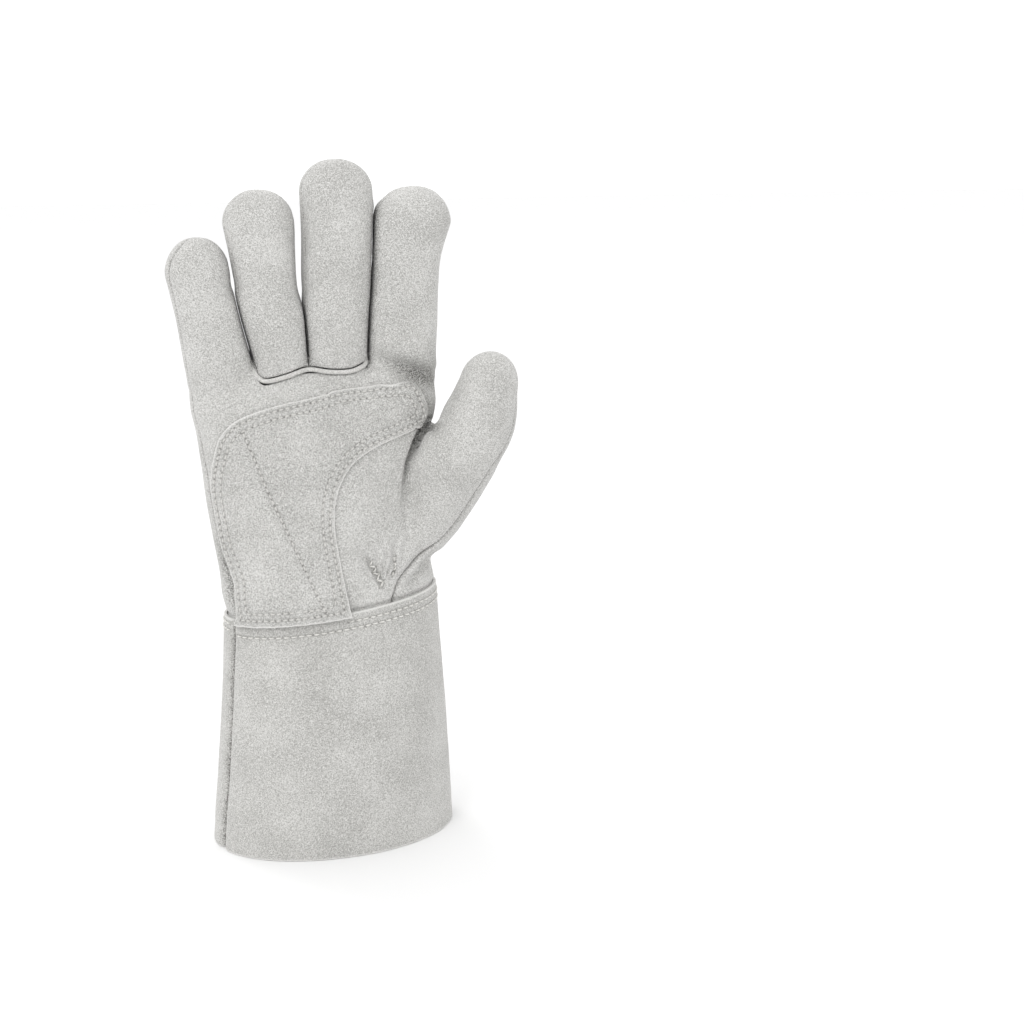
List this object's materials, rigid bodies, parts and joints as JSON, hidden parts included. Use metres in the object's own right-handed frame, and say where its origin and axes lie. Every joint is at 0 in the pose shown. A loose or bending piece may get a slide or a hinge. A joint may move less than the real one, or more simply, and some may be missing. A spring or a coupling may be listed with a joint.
{
  "type": "gauntlet welding glove, right hand",
  "caption": "Right-hand gauntlet glove of grey split leather with a palm patch, wing thumb, sewn fingers and a long cuff, standing on its rim.",
  "frame": {"origin": "middle of the bounding box at the level of the cuff rim, on which the glove stands", "axes": "+Z from the cuff rim to the fingertips, +X towards the thumb, -Y the side that the palm faces"},
  "size_m": [0.1712, 0.0846, 0.35],
  "materials": {
    "hand_leather": "light grey suede of split cowhide, matt and finely napped",
    "patch_leather": "light grey suede, brushed, with raw cut edges",
    "welt_leather": "pale leather strip, cut edge showing",
    "cuff_leather": "light grey suede, slightly coarser, with raw cut edges",
    "sewing_thread": "off-white spun thread"
  },
  "bodies": {
    "root": {"back_panel": "hand_leather", "palm_panel": "hand_leather", "ring_finger_front": "hand_leather", "middle_finger_front": "hand_leather", "fourchette_ring_little": "hand_leather", "fourchette_middle_ring": "hand_leather", "fourchette_index_middle": "hand_leather", "thumb_front": "hand_leather", "thumb_back": "hand_leather", "palm_patch": "patch_leather", "finger_base_welt": "welt_leather", "cuff_palm_panel": "cuff_leather", "cuff_back_panel": "cuff_leather"}
  },
  "joints": []
}
